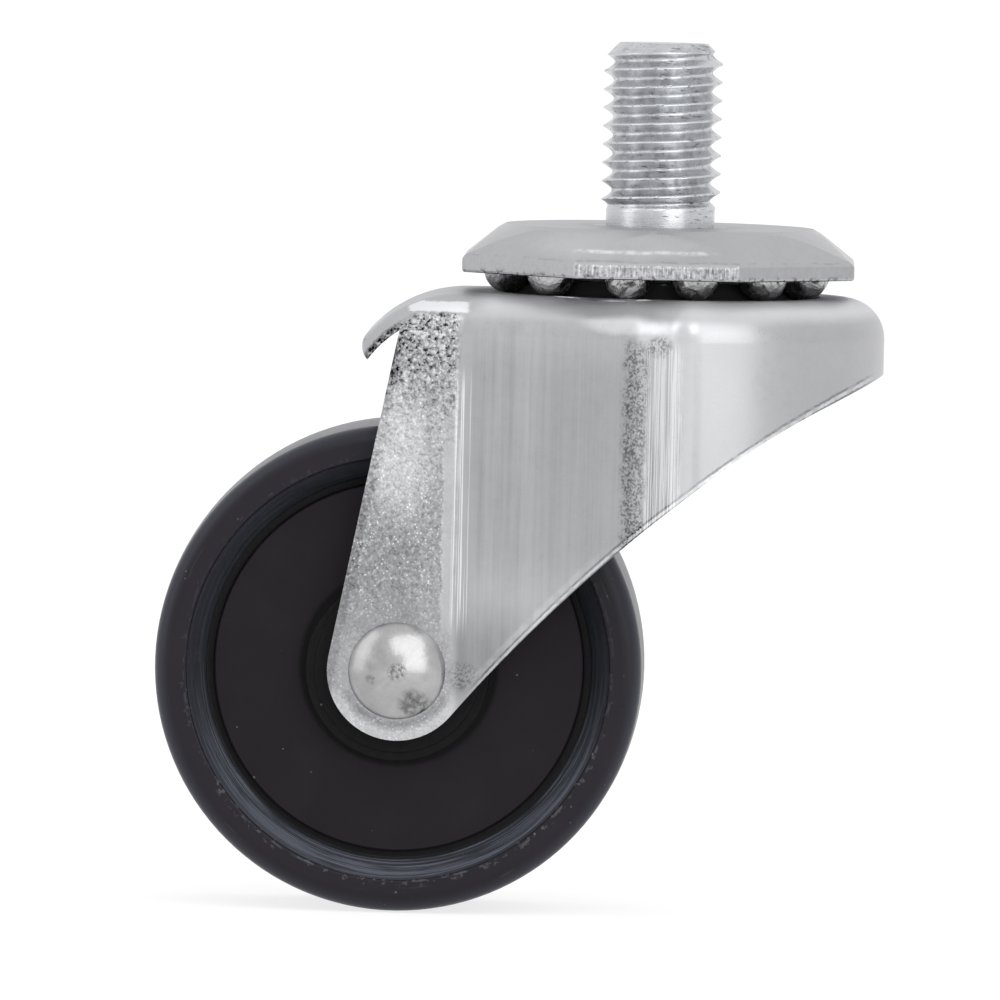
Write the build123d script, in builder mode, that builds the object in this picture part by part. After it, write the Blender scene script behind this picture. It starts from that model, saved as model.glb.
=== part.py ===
"""Swivel castor: a 40 mm plastic wheel in a pressed steel fork, which turns on two
rings of balls about a threaded stem.

Millimetres. The origin is where the stem's axis crosses the seat, the flat top of
the top plate. +Z is up along the stem, +X is towards the nose of the fork, and the
wheel trails towards -X with its axle along Y.
"""

from build123d import *

import os
from math import asin, atan2, cos, degrees, radians, sin, sqrt, tan

# Threaded stem, which is also the king pin
thread_radius = 4.9
thread_length = 15.0
thread_tip_radius = 3.65
thread_pitch = 1.5
thread_depth = 0.84
thread_crest_width = 0.2
thread_root_width = 0.3
neck_radius = 4.45
neck_height = 1.25
collar_radius = 6.0
collar_height = 1.2
shank_radius = 4.2
spigot_radius = 3.4
pin_head_radius = 5.6
pin_head_height = 1.5
pin_head_rim = 0.4

# Top plate: an octagonal cap whose skirt starts round and ends in eight flats
cap_rim_margin = 3.6
cap_sheet = 1.7
cap_flat_margin = 0.25
cap_facet_inset = 0.15
cap_cone_angle = 29.5
cap_height = 3.9
cap_rim_height = 1.2
cap_sides = 8
cap_hole_sink = 0.95
cap_hole_sink_depth = 0.5

# Upper ring of balls: azimuths seen from the nose, anticlockwise from above
upper_ball_radius = 2.0
upper_ring_radius = 12.4
upper_ball_azimuths = [-203, -174, -134, -101, -75.5, -46.6, -17, 14, 45, 76, 103, 130]
race_clearance = 0.03

# Lower ring of balls
lower_ball_radius = 1.5
lower_ball_gap = 0.16
lower_ball_count = 12
lower_sheet = 1.2
lower_land_depth = 0.25

# Fork: one piece of pressed sheet
fork_sheet = 1.4
fork_top_drop = 5.55
fork_top_bend = 3.3
plateau_rise = 1.15
plateau_hole_radius = 4.6
head_margin = 6.2
cheek_inset = 0.15
cheek_step = 2.7
flare_end_x = -1.45
flare_bend_radius = 3.6
ear_half_width = 11.1
ear_bend_ahead = 4.75
ear_lean = 11.0
ear_end_radius = 5.7
leg_edge_angle = 50.0
knee_run = 14.4
knee_fall = 8.55
nose_edge_run = 5.5
nose_edge_angle = 26.5
nose_height = 6.14
cutting_margin = 5.0

# Rear lip of the fork, curved down over the wheel, with a rounded tip
lip_start_behind = 15.7
lip_curve_radius = 10.7
lip_turn = 48.0
lip_edge_depth = 1.55
lip_tip_radius = 1.5
lip_tip_break = 6.0
lip_tip_turn = 84.0
lip_corner_radius = 2.4

# Wheel
wheel_trail = 20.45
axle_drop = 36.33
wheel_radius = 20.0
rim_half_width = 8.75
tread_crown = 0.12
shoulder_radius = 1.5
rim_inner_radius = 17.3
rim_wall_foot_radius = 15.75
groove_inner_radius = 15.1
groove_depth = 0.7
web_half_thickness = 5.6
hub_radius = 7.5
hub_step_radius = 6.8
hub_step_drop = 0.35
hub_clearance = 0.4
bore_clearance = 0.06

# Axle: a rivet through a sleeve
sleeve_radius = 3.5
rivet_radius = 2.5
rivet_clearance = 0.05
rivet_head_radius = 3.95
rivet_head_height = 1.95
rivet_head_rim = 0.25

# Sizes that follow from those above
axle_x = -wheel_trail
axle_z = -axle_drop
cap_flat_radius = upper_ring_radius + cap_flat_margin
cap_half_width = upper_ring_radius + cap_rim_margin
head_radius = upper_ring_radius + head_margin
cheek_half_width = head_radius - cheek_inset
flare_end_half_width = cheek_half_width - cheek_step
upper_ball_z = -(cap_sheet + race_clearance + upper_ball_radius)
upper_race_radius = upper_ball_radius + race_clearance
fork_top_z = -fork_top_drop
fork_under_z = fork_top_z - fork_sheet
plateau_z = fork_top_z + plateau_rise
plateau_under_z = plateau_z - fork_sheet
lower_ball_z = plateau_under_z - race_clearance - lower_ball_radius
race_back_radius = upper_race_radius + fork_sheet
lower_race_radius = lower_ball_radius + race_clearance
lower_ball_reach = race_back_radius + lower_ball_gap + lower_ball_radius
lower_land_z = lower_ball_z - lower_land_depth
lower_under_z = lower_land_z - lower_sheet
ear_inner_half = ear_half_width - fork_sheet
sleeve_length = 2 * ear_inner_half
hub_half_width = ear_inner_half - hub_clearance
bore_radius = sleeve_radius + bore_clearance
rivet_hole_radius = rivet_radius + rivet_clearance

TOLERANCE = 0.01
parts = []


def half_chord(radius, height):
    """Half the width of a circle at a height above or below its centre."""
    return sqrt(radius**2 - height**2)


# The lower ring's radius, at which its balls clear the back of the fork's upper race
lower_ring_inset = half_chord(lower_ball_reach, upper_ball_z - lower_ball_z)
lower_ring_radius = upper_ring_radius - lower_ring_inset


def dome_middle(radius, height):
    """The middle of a dome's profile, as a distance from its axis and a rise above its rim."""
    sphere_radius = (radius**2 + height**2) / (2 * height)
    half_angle = asin(radius / sphere_radius) / 2
    return sphere_radius * sin(half_angle), height - sphere_radius * (1 - cos(half_angle))


def finish(builder, name):
    """Label a finished piece and keep it for export."""
    builder.part.label = name
    parts.append(builder.part)


# Threaded stem: thread, neck, collar, shank and the closed-up head below. The thread is
# drawn as rings at its pitch, each with a flat crest between two sloping flanks.
collar_top_z = -cap_sheet
shank_top_z = collar_top_z - collar_height
tip_chamfer = thread_radius - thread_tip_radius
neck_chamfer = thread_radius - neck_radius
thread_foot_z = neck_height + neck_chamfer
thread_top_z = thread_length - tip_chamfer
thread_groove_count = int((thread_top_z - thread_foot_z) / thread_pitch)
groove_half_width = (thread_pitch - thread_crest_width) / 2
pin_rim_z = lower_under_z - pin_head_rim
pin_foot_z = pin_rim_z - pin_head_height
dome_x, dome_rise = dome_middle(pin_head_radius, pin_head_height)
with BuildPart() as threaded_stem:
    with BuildSketch(Plane.XZ):
        with BuildLine():
            Polyline(
                (0, thread_length),
                (thread_tip_radius, thread_length),
                (thread_radius, thread_top_z),
                (thread_radius, thread_foot_z),
                (neck_radius, neck_height),
                (neck_radius, collar_top_z),
                (collar_radius, collar_top_z),
                (collar_radius, shank_top_z),
                (shank_radius, shank_top_z),
                (shank_radius, lower_land_z),
                (spigot_radius, lower_land_z),
                (spigot_radius, lower_under_z),
                (pin_head_radius, lower_under_z),
                (pin_head_radius, pin_rim_z),
            )
            ThreePointArc(
                (pin_head_radius, pin_rim_z),
                (dome_x, pin_rim_z - dome_rise),
                (0, pin_foot_z),
            )
            Line((0, pin_foot_z), (0, thread_length))
        make_face()
        with Locations((thread_radius, (thread_foot_z + thread_top_z) / 2)):
            with GridLocations(thread_pitch, thread_pitch, 1, thread_groove_count):
                Polygon(
                    (cutting_margin, groove_half_width),
                    (0, groove_half_width),
                    (-thread_depth, thread_root_width / 2),
                    (-thread_depth, -thread_root_width / 2),
                    (0, -groove_half_width),
                    (cutting_margin, -groove_half_width),
                    align=None,
                    mode=Mode.SUBTRACT,
                )
    revolve(axis=Axis.Z)
finish(threaded_stem, "threaded_stem")

# Top plate: an octagonal block with eight sloping facets, turned to its section. The
# section's cone cuts the corners between the facets and runs out past the rim.
facet_drop = cap_height - cap_rim_height
facet_run = cap_half_width - cap_flat_radius - cap_facet_inset
skirt = atan2(facet_drop, facet_run)
cone_foot_x = cap_flat_radius + cap_height / tan(radians(cap_cone_angle))
race_end_x = upper_ring_radius + upper_race_radius * sin(skirt)
race_end_z = upper_ball_z + upper_race_radius * cos(skirt)
race_mid_x = upper_ring_radius + upper_race_radius * sin(skirt / 2)
race_mid_z = upper_ball_z + upper_race_radius * cos(skirt / 2)
land_x = race_end_x + (race_end_z + cap_height) / tan(skirt)
with BuildPart() as top_plate:
    with BuildSketch(Plane.XY.offset(-cap_height)) as cap_outline:
        RegularPolygon(cap_half_width, cap_sides, major_radius=False, rotation=180 / cap_sides)
    extrude(amount=cap_rim_height)
    with BuildSketch(Plane.XY.offset(-facet_drop)):
        add(cap_outline.sketch_local)
    extrude(amount=facet_drop, taper=90 - degrees(skirt))
    with BuildSketch(Plane.XZ):
        with BuildLine():
            Polyline(
                (upper_ring_radius, -cap_sheet),
                (neck_radius, -cap_sheet),
                (neck_radius, -cap_hole_sink_depth),
                (neck_radius + cap_hole_sink, 0),
                (cap_flat_radius, 0),
                (cone_foot_x, -cap_height),
                (land_x, -cap_height),
                (race_end_x, race_end_z),
            )
            ThreePointArc(
                (race_end_x, race_end_z),
                (race_mid_x, race_mid_z),
                (upper_ring_radius, -cap_sheet),
            )
        make_face()
    revolve(axis=Axis.Z, mode=Mode.INTERSECT)
finish(top_plate, "top_plate")

# Lower race: a cup washer that the pin's head holds up
lower_outer_radius = lower_race_radius + lower_sheet
land_drop = lower_ball_z - lower_land_z
under_drop = lower_ball_z - lower_under_z
race_chord = half_chord(lower_race_radius, land_drop)
rim_chord = half_chord(lower_outer_radius, land_drop)
under_chord = half_chord(lower_outer_radius, under_drop)
with BuildPart() as lower_race:
    with BuildSketch(Plane.XZ):
        with BuildLine():
            Line((spigot_radius, lower_land_z), (lower_ring_radius - race_chord, lower_land_z))
            ThreePointArc(
                (lower_ring_radius - race_chord, lower_land_z),
                (lower_ring_radius, lower_ball_z - lower_race_radius),
                (lower_ring_radius + race_chord, lower_land_z),
            )
            Line(
                (lower_ring_radius + race_chord, lower_land_z),
                (lower_ring_radius + rim_chord, lower_land_z),
            )
            ThreePointArc(
                (lower_ring_radius + rim_chord, lower_land_z),
                (lower_ring_radius, lower_ball_z - lower_outer_radius),
                (lower_ring_radius - under_chord, lower_under_z),
            )
            Polyline(
                (lower_ring_radius - under_chord, lower_under_z),
                (spigot_radius, lower_under_z),
                (spigot_radius, lower_land_z),
            )
        make_face()
    revolve(axis=Axis.Z)
finish(lower_race, "lower_race")

# Balls
for index, azimuth in enumerate(upper_ball_azimuths, 1):
    ball_x = upper_ring_radius * cos(radians(azimuth))
    ball_y = upper_ring_radius * sin(radians(azimuth))
    with BuildPart() as upper_ball:
        with Locations((ball_x, ball_y, upper_ball_z)):
            Sphere(upper_ball_radius)
    finish(upper_ball, f"upper_ball_{index:02d}")

for index in range(1, lower_ball_count + 1):
    azimuth = radians(360 * index / lower_ball_count)
    ball_x = lower_ring_radius * cos(azimuth)
    ball_y = lower_ring_radius * sin(azimuth)
    with BuildPart() as lower_ball:
        with Locations((ball_x, ball_y, lower_ball_z)):
            Sphere(lower_ball_radius)
    finish(lower_ball, f"lower_ball_{index:02d}")

# Fork: drawn as a hood whose top curls down at the rear, trimmed to its side profile,
# then given its round head. The curl carries the lip, as wide as the ears.
lean = radians(ear_lean)
leg_angle = radians(leg_edge_angle)
ear_bend_x = axle_x + ear_bend_ahead
ear_foot_z = axle_z - ear_end_radius
nose_z = fork_top_z - nose_height
hood_rear_x = axle_x - ear_end_radius - cutting_margin
hood_front_x = head_radius + cutting_margin
lip_start_x = -lip_start_behind
lip_turn_angle = radians(lip_turn)
lip_break_angle = radians(lip_turn + lip_tip_break)
lip_end = (
    lip_start_x - lip_curve_radius * sin(lip_turn_angle),
    fork_top_z - lip_curve_radius * (1 - cos(lip_turn_angle)),
)
lip_tip_x = lip_end[0] - lip_tip_radius * (1 - sin(lip_break_angle))
lip_foot_z = lip_end[1] - 2 * lip_tip_radius
slope_end_x = hood_rear_x - cutting_margin
slope_end_z = lip_end[1] - (lip_end[0] - slope_end_x) * tan(lip_turn_angle)
rear_tangent = (axle_x - ear_end_radius * cos(lean), axle_z + ear_end_radius * sin(lean))
rear_edge_top = (rear_tangent[0] + (fork_top_z - rear_tangent[1]) * tan(lean), fork_top_z)
leg_tangent = (
    axle_x + ear_end_radius * sin(leg_angle),
    axle_z - ear_end_radius * cos(leg_angle),
)
knee = (head_radius - knee_run, nose_z - knee_fall)
nose_edge_end = (
    head_radius - nose_edge_run,
    nose_z - nose_edge_run * tan(radians(nose_edge_angle)),
)
cheek_x = half_chord(head_radius, cheek_half_width)
cheek_angle = atan2(cheek_half_width, cheek_x) / 2
head_middle = (head_radius * cos(cheek_angle), head_radius * sin(cheek_angle))
race_top = upper_ring_radius - half_chord(upper_race_radius, plateau_z - upper_ball_z)
mouth_chord = half_chord(upper_race_radius, upper_ball_z - fork_top_z)
race_mouth = upper_ring_radius + mouth_chord + race_clearance
back_inner_chord = half_chord(race_back_radius, upper_ball_z - plateau_under_z)
back_outer_chord = half_chord(race_back_radius, upper_ball_z - fork_under_z)


def is_crown(edge):
    """Is this an edge between the hood's top and its walls, which the press rounds over?"""
    middle = edge.center()
    upright = abs(edge.tangent_at(0.5).Z) > 1 - TOLERANCE
    return middle.Z > ear_foot_z + TOLERANCE and abs(middle.Y) > TOLERANCE and not upright


with BuildPart() as fork:
    with BuildSketch(Plane.XY.offset(ear_foot_z)) as hood_outline:
        with BuildLine():
            Polyline(
                (hood_rear_x, 0),
                (hood_rear_x, ear_half_width),
                (ear_bend_x, ear_half_width),
                (flare_end_x, flare_end_half_width),
                (cheek_x, cheek_half_width),
            )
            ThreePointArc((cheek_x, cheek_half_width), head_middle, (head_radius, 0))
            mirror(about=Plane.XZ)
        make_face()
        bends = [v for v in hood_outline.vertices() if hood_rear_x < v.X < cheek_x + TOLERANCE]
        fillet(bends, radius=flare_bend_radius)
    extrude(amount=-ear_foot_z)
    with BuildSketch(Plane.XZ):
        with BuildLine():
            Line((hood_front_x, fork_top_z), (lip_start_x, fork_top_z))
            curl = JernArc((lip_start_x, fork_top_z), (-1, 0), lip_curve_radius, lip_turn)
            Polyline(
                curl @ 1,
                (slope_end_x, slope_end_z),
                (slope_end_x, ear_foot_z),
                (hood_front_x, ear_foot_z),
                (hood_front_x, fork_top_z),
            )
        make_face()
    extrude(amount=hood_front_x, both=True, mode=Mode.INTERSECT)
    fillet(fork.edges().filter_by(is_crown), radius=fork_top_bend)
    open_faces = [fork.faces().sort_by(Axis.Z)[0], fork.faces().sort_by(Axis.X)[0]]
    offset(amount=-fork_sheet, openings=open_faces, kind=Kind.INTERSECTION)
    with BuildSketch(Plane.XZ):
        with BuildLine():
            Polyline(
                nose_edge_end,
                (head_radius, nose_z),
                (hood_front_x, nose_z),
                (hood_front_x, 0),
                (rear_edge_top[0], 0),
                rear_edge_top,
                rear_tangent,
            )
            ThreePointArc(rear_tangent, (axle_x, ear_foot_z), leg_tangent)
            leg_edge = TangentArc(leg_tangent, knee, tangent=(cos(leg_angle), sin(leg_angle)))
            TangentArc(knee, nose_edge_end, tangent=leg_edge % 1)
        make_face()
        with BuildLine():
            over_curl = JernArc((lip_start_x, 0), (-1, 0), lip_curve_radius - fork_top_z, lip_turn)
            Line(over_curl @ 1, lip_end)
            tip_round = JernArc(
                lip_end,
                (-cos(lip_break_angle), -sin(lip_break_angle)),
                lip_tip_radius,
                lip_tip_turn,
            )
            under_curl = TangentArc(
                (lip_start_x, fork_top_z - lip_edge_depth),
                tip_round @ 1,
                tangent=(-1, 0),
            )
            Line(over_curl @ 0, under_curl @ 0)
        make_face()
    extrude(amount=hood_front_x, both=True, mode=Mode.INTERSECT)
    with BuildSketch(Plane.XY.offset(fork_top_z)):
        with Locations((lip_tip_x, 0)):
            Rectangle(2 * lip_corner_radius, 2 * hood_front_x)
        with Locations((lip_tip_x + head_radius / 2, 0)):
            RectangleRounded(
                head_radius, 2 * ear_half_width, lip_corner_radius, mode=Mode.SUBTRACT
            )
    extrude(amount=lip_foot_z - fork_top_z, mode=Mode.SUBTRACT)
    with BuildSketch(Plane.XY.offset(fork_top_z)):
        Circle(race_mouth)
    extrude(amount=fork_sheet, both=True, mode=Mode.SUBTRACT)
    with BuildSketch(Plane.XZ):
        with BuildLine():
            Polyline(
                (race_top, plateau_z),
                (plateau_hole_radius, plateau_z),
                (plateau_hole_radius, plateau_under_z),
                (upper_ring_radius - back_inner_chord, plateau_under_z),
            )
            ThreePointArc(
                (upper_ring_radius - back_inner_chord, plateau_under_z),
                (upper_ring_radius, upper_ball_z - race_back_radius),
                (upper_ring_radius + back_outer_chord, fork_under_z),
            )
            Polyline(
                (upper_ring_radius + back_outer_chord, fork_under_z),
                (race_mouth, fork_top_z),
                (upper_ring_radius + mouth_chord, fork_top_z),
            )
            ThreePointArc(
                (upper_ring_radius + mouth_chord, fork_top_z),
                (upper_ring_radius, upper_ball_z - upper_race_radius),
                (race_top, plateau_z),
            )
        make_face()
    revolve(axis=Axis.Z)
    with BuildSketch(Plane.XZ):
        with Locations((axle_x, axle_z)):
            Circle(rivet_hole_radius)
    extrude(amount=ear_half_width, both=True, mode=Mode.SUBTRACT)
finish(fork, "fork")

# Wheel: one moulding, turned about the axle
axle_plane = Plane(origin=(axle_x, 0, axle_z))
axle_line = Axis((axle_x, 0, axle_z), (0, 1, 0))
shoulder_y = rim_half_width - shoulder_radius
shoulder_x = wheel_radius - tread_crown - shoulder_radius
shoulder_bend = shoulder_radius * cos(radians(45))
with BuildPart() as wheel:
    with BuildSketch(axle_plane):
        with BuildLine():
            ThreePointArc(
                (wheel_radius - tread_crown, -shoulder_y),
                (wheel_radius, 0),
                (wheel_radius - tread_crown, shoulder_y),
            )
            ThreePointArc(
                (wheel_radius - tread_crown, shoulder_y),
                (shoulder_x + shoulder_bend, shoulder_y + shoulder_bend),
                (shoulder_x, rim_half_width),
            )
            Polyline(
                (shoulder_x, rim_half_width),
                (rim_inner_radius, rim_half_width),
                (rim_wall_foot_radius, web_half_thickness - groove_depth),
                (groove_inner_radius, web_half_thickness - groove_depth),
                (groove_inner_radius, web_half_thickness),
                (hub_radius, web_half_thickness),
                (hub_radius, hub_half_width - hub_step_drop),
                (hub_step_radius, hub_half_width - hub_step_drop),
                (hub_step_radius, hub_half_width),
                (bore_radius, hub_half_width),
                (bore_radius, -hub_half_width),
                (hub_step_radius, -hub_half_width),
                (hub_step_radius, hub_step_drop - hub_half_width),
                (hub_radius, hub_step_drop - hub_half_width),
                (hub_radius, -web_half_thickness),
                (groove_inner_radius, -web_half_thickness),
                (groove_inner_radius, groove_depth - web_half_thickness),
                (rim_wall_foot_radius, groove_depth - web_half_thickness),
                (rim_inner_radius, -rim_half_width),
                (shoulder_x, -rim_half_width),
            )
            ThreePointArc(
                (shoulder_x, -rim_half_width),
                (shoulder_x + shoulder_bend, -shoulder_y - shoulder_bend),
                (wheel_radius - tread_crown, -shoulder_y),
            )
        make_face()
    revolve(axis=axle_line)
finish(wheel, "wheel")

# Axle sleeve, squeezed between the ears
with BuildPart() as axle_sleeve:
    with BuildSketch(Plane.XZ):
        with Locations((axle_x, axle_z)):
            Circle(sleeve_radius)
            Circle(rivet_hole_radius, mode=Mode.SUBTRACT)
    extrude(amount=sleeve_length / 2, both=True)
finish(axle_sleeve, "axle_sleeve")

# Axle rivet with its two spun heads
head_rim_y = ear_half_width + rivet_head_rim
head_top_y = ear_half_width + rivet_head_height
dome_x, dome_rise = dome_middle(rivet_head_radius, rivet_head_height - rivet_head_rim)
with BuildPart() as axle_rivet:
    with BuildSketch(axle_plane):
        with BuildLine():
            Polyline(
                (0, head_top_y),
                (0, -head_top_y),
            )
            ThreePointArc(
                (0, -head_top_y),
                (dome_x, -head_rim_y - dome_rise),
                (rivet_head_radius, -head_rim_y),
            )
            Polyline(
                (rivet_head_radius, -head_rim_y),
                (rivet_head_radius, -ear_half_width),
                (rivet_radius, -ear_half_width),
                (rivet_radius, ear_half_width),
                (rivet_head_radius, ear_half_width),
                (rivet_head_radius, head_rim_y),
            )
            ThreePointArc(
                (rivet_head_radius, head_rim_y),
                (dome_x, head_rim_y + dome_rise),
                (0, head_top_y),
            )
        make_face()
    revolve(axis=axle_line)
finish(axle_rivet, "axle_rivet")

os.makedirs("parts", exist_ok=True)
for part in parts:
    export_step(part, f"parts/{part.label}.step")
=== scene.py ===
"""The looks of a small swivel castor: zinc-plated pressed steel, a rolled thread,
greased balls and a black moulded wheel, around the packed solids.

Names that end in _mm or _MM are lengths in millimetres, and MM turns them into metres.
Every material works in millimetres, in the object's own coordinates.
"""

import math

import bmesh
import bpy
from bpy.props import FloatProperty, FloatVectorProperty, IntProperty, PointerProperty
from mathutils import Matrix, Vector


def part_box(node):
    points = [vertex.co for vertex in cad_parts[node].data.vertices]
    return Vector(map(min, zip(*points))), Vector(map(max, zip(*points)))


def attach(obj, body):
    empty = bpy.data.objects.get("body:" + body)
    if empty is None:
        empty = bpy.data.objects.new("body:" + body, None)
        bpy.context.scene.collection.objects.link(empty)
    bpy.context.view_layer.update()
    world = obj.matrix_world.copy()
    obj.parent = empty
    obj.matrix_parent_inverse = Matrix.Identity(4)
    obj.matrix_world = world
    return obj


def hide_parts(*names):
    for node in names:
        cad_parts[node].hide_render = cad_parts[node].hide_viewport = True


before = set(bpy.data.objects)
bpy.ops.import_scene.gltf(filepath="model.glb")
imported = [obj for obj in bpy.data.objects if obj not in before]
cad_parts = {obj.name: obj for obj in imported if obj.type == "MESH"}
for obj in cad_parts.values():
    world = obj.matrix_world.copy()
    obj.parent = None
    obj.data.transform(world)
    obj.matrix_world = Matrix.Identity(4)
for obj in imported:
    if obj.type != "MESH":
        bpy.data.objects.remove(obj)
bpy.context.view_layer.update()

bl_info = {
    "name": "Swivel Castor Finish",
    "version": (1, 0, 0),
    "blender": (4, 5, 0),
    "location": "View3D > Sidebar > Castor",
    "description": "Finishes the solids of a small swivel castor and sets its stage",
    "category": "Object",
}

MM = 0.001


# Places read from the frame


def middle(node):
    """The centre of a CAD node's box, in metres."""
    low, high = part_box(node)
    return (low + high) / 2


AXLE = middle("wheel")
AXLE_X_MM = AXLE.x / MM
AXLE_Z_MM = AXLE.z / MM
FLOOR_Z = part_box("wheel")[0].z
STEM_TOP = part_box("threaded_stem")[1].z

# The rolled thread takes over this far below the seat. Its flanks are hollowed by this
# power, and its edges stay sharp where they turn by more than the angle.
THREAD_FOOT_DEPTH = 0.6 * MM
FLANK_POWER = 1.5
THREAD_SHARP_ANGLE = math.radians(50)

# Points nearer than this, in metres, are one point, and edges sharper than this are rounded
WELD_DISTANCE = 1e-6
ROUNDED_ANGLE = math.radians(35)

# Lines of the fork that its marks follow, in millimetres: the bend in front of each ear,
# the lower edge as a slope that eases from the ear to the nose, and the lip's curl
EAR_BEND_X = AXLE_X_MM + 4.75
EAR_END_RADIUS = 5.7
EAR_LEAN = math.radians(11)
LEG_FOOT_X = AXLE_X_MM + 4.37
LEG_FOOT_Z = AXLE_Z_MM - 3.66
LEG_FOOT_SLOPE = 1.19
LEG_SLOPE_LOSS = 0.0107
LIP_CURL_RADIUS = 10.7
LIP_CURL_X = -15.7
LIP_CURL_Z = -5.55 - LIP_CURL_RADIUS

# Patches with ragged edges in side view, on the near and the far side alike: the centre's
# x and z, then the half width and half height, in millimetres
SPOTS = {
    "bright_ear_patch": (-20.6, -18.8, 2.2, 5.5),
    "dull_ear": (-21.6, -30.3, 3.4, 5.5),
    "scraped_foot": (-15.3, -36.6, 1.5, 1.2),
    "bruised_cheek": (0.3, -9.2, 1.1, 0.9),
    # a painted highlight on the top bend, by the cheek
    "top_bend_highlight": (-2.2, -7.6, 3.8, 0.8),
    # a painted highlight across the cap's skirt
    "skirt_highlight": (-3.8, -1.3, 7.0, 1.1),
    "rivet_stain": (AXLE_X_MM + 1.5, AXLE_Z_MM - 2.5, 1.3, 1.2),
    "rivet_speck": (AXLE_X_MM - 2.1, AXLE_Z_MM - 0.7, 0.5, 0.4),
}

# Rings of grease: the inner and outer radius, then the lower and upper height
FORK_GREASE_MM = (9.0, 13.0, -6.3, -4.3)
CAP_GREASE_MM = (4.6, 15.2, -3.7, -1.75)

# The way that greased faces look, as the sign of their lean
FACES_UP = 1
FACES_DOWN = -1

# Faces that look up are paler above these heights, which is painted light, and less metallic, a dry,
# bloomed finish. The cap lies below its own.
FORK_BLOOM_AND_LIGHT_MM = -7.2
CAP_BLOOM_AND_LIGHT_MM = 1.0

# Tints on the wheel's black, as linear colours
CLOUDED_BLACK = (0.022, 0.018, 0.024)
# painted shade in the wheel's grooves
GROOVE_SHADE = (0.0015, 0.0015, 0.0018)
# painted sheen on the wheel's shoulder
SHOULDER_PAINTED_SHEEN = (0.046, 0.048, 0.064)
FLASH_GREY = (0.12, 0.12, 0.13)
SCUFF_GREY = (0.10, 0.10, 0.11)
DUST_GREY = (0.30, 0.29, 0.29)

# The white surroundings: what a camera or mirror sees, and what lights matt surfaces
SEEN_LEVEL = 1.0
LIGHT_LEVEL = 0.8
FLOOR_GREY = 0.86
FLOOR_SEEN_GREY = 0.32
FLOOR_GLOW = 0.78

# Soft lamps round the camera: heading, height, width and tallness in degrees, then level
LAMPS = {
    "front_top": (22, 45, 54, 32, 1.1),
    "right_front": (31, 5, 40, 50, 1.2),
    "left_side": (-70, 16, 26, 84, 0.75),
}

# The photograph's width, and the pixel on which the seat's centre falls
FRAME_PIXELS = 1000
SEAT_PIXEL = (660, 226)

# Sockets of Blender's mix node when it mixes colours
MIX_FACTOR = 0
MIX_FIRST = 6
MIX_SECOND = 7
MIX_RESULT = 2


# Settings a user would change


def colour_property(name, description, default):
    """A colour setting with the given linear default."""
    return FloatVectorProperty(
        name=name, description=description, default=default, size=3, min=0, max=1, subtype="COLOR"
    )


def length_property(name, description, default_mm):
    """A length setting, given in millimetres and kept in metres."""
    return FloatProperty(
        name=name, description=description, default=default_mm * MM, min=0, unit="LENGTH"
    )


def share_property(name, description, default):
    """A plain share from 0 to 1."""
    return FloatProperty(
        name=name, description=description, default=default, min=0, max=1, subtype="FACTOR"
    )


class CastorThreadSettings(bpy.types.PropertyGroup):
    """The rolled thread of the stem."""

    pitch: length_property("Pitch", "Rise of the thread in one turn", 1.5)
    depth: length_property("Depth", "From the crest down to the root", 0.84)
    crest_radius: length_property("Crest Radius", "Half of the thread's outer diameter", 4.88)
    neck_radius: length_property("Neck Radius", "Plain neck under the thread", 4.45)
    neck_height: length_property("Neck Height", "Where the thread runs out above the seat", 1.25)
    tip_radius: length_property("Tip Radius", "Flat end of the stem inside its chamfer", 3.62)
    run_out: length_property("Run-out", "Length over which the thread fades to the neck", 0.9)
    first_crest: length_property("First Crest", "Height of a crest on the stem's left side", 2.12)
    crest_share: share_property("Crest Share", "Flat crest, as a share of half the pitch", 0.06)
    flank_share: share_property("Flank Share", "Flank, as a share of half the pitch", 0.88)
    steps_around: IntProperty(
        name="Steps Around", description="Columns in one turn", default=144, min=24
    )
    steps_per_pitch: IntProperty(
        name="Steps per Pitch", description="Rows in one pitch", default=14, min=6
    )


class CastorFinishSettings(bpy.types.PropertyGroup):
    """Colours and gloss of the castor's finishes."""

    zinc: colour_property("Zinc", "Plated sheet of the fork and cap", (0.430, 0.432, 0.445))
    bright_zinc: colour_property("Bright Zinc", "Plated thread", (0.56, 0.57, 0.59))
    rivet: colour_property("Rivet", "Spun rivet heads", (0.46, 0.46, 0.465))
    ball: colour_property("Ball", "Greased steel balls", (0.42, 0.42, 0.42))
    grease: colour_property("Grease", "Dark grease in the races", (0.015, 0.014, 0.013))
    plastic: colour_property("Plastic", "Black wheel", (0.0150, 0.0132, 0.0185))
    web: colour_property("Web", "Warmer, duller black of the wheel's web", (0.0098, 0.0068, 0.0104))
    # A painted sheen on the wall inside the rim
    painted_wall_sheen: colour_property("Rim Wall", "Bluer sheen of the wall inside the rim", (0.155, 0.170, 0.205))
    zinc_roughness: share_property("Zinc Roughness", "Dullness of the plated sheet", 0.30)
    plastic_roughness: share_property("Plastic Roughness", "Dullness of the wheel", 0.32)
    edge_rounding: length_property("Edge Rounding", "Small rounding on moulded and turned edges", 0.12)
    sheet_rounding: length_property("Sheet Rounding", "Rounding on the cut edges of the sheet", 0.22)


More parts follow.
